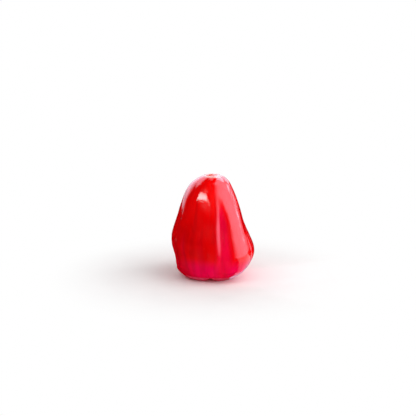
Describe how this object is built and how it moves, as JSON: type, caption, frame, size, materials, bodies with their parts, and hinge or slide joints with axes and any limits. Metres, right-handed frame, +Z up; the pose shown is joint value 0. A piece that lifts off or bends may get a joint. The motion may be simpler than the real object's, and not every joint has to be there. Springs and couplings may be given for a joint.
{
  "type": "rose apple",
  "caption": "Waxy red bell-shaped fruit standing on its wide end, with fleshy in-curled calyx lobes and a small stalk scar in a dimple.",
  "frame": {"origin": "on the table, under the middle of the fruit's box", "axes": "+Z up through the stalk scar, the fruit's longest way; -Y the side that faces a viewer; +X to that viewer's right"},
  "size_m": [0.0592, 0.0602, 0.0725],
  "materials": {
    "waxy_skin": "glossy waxy red fruit skin"
  },
  "bodies": {
    "root": {"fruit": "waxy_skin"}
  },
  "joints": []
}
